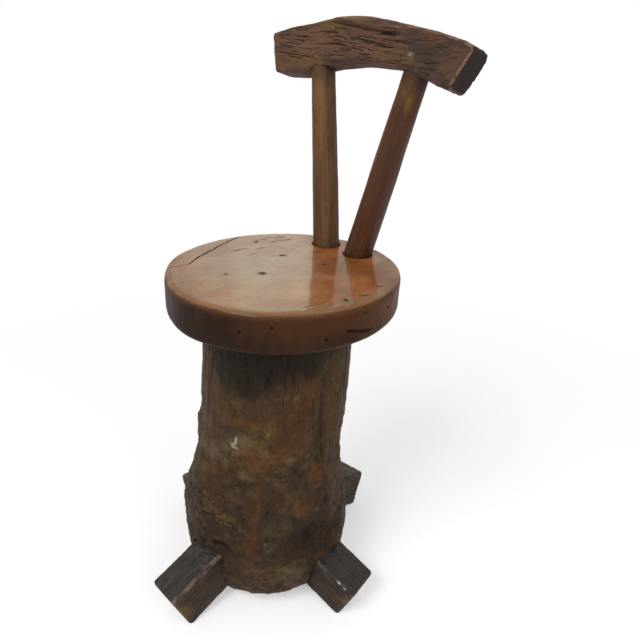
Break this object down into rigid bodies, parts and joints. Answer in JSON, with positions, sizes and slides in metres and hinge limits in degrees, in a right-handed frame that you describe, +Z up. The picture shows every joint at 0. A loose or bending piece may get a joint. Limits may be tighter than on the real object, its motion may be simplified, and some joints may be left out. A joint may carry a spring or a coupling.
{
  "type": "chair",
  "caption": "Rustic log chair: round slab seat on a burl trunk, squared sloping feet, splayed back posts and an arched weathered crest rail.",
  "frame": {"origin": "on the floor, under the middle of the chair's bounding box", "axes": "+Z up, +Y towards the back posts, -Y the way the sitter faces, +X to the right seen from the front facing the back"},
  "size_m": [0.3754, 0.3992, 0.7782],
  "materials": {
    "log_wood": "debarked log, waxed, satin",
    "varnished_wood": "varnished slab, semi-gloss",
    "post_wood": "shaved pole, worn satin",
    "weathered_rail": "weathered and checked, dull",
    "weathered_foot": "weathered sawn block, dull",
    "dowel_wood": "plain turned hardwood"
  },
  "bodies": {
    "root": {"trunk": "log_wood", "seat_slab": "varnished_wood", "back_post_left": "post_wood", "back_post_right": "post_wood", "crest_rail": "weathered_rail", "foot_front": "weathered_foot", "foot_right": "weathered_foot", "foot_back": "weathered_foot", "foot_left": "weathered_foot", "seat_dowel_1": "dowel_wood", "seat_dowel_2": "dowel_wood", "seat_dowel_3": "dowel_wood", "post_wedge_left": "dowel_wood", "post_wedge_right": "dowel_wood", "foot_peg_front": "dowel_wood", "foot_peg_right": "dowel_wood", "foot_peg_back": "dowel_wood", "foot_peg_left": "dowel_wood"}
  },
  "joints": []
}
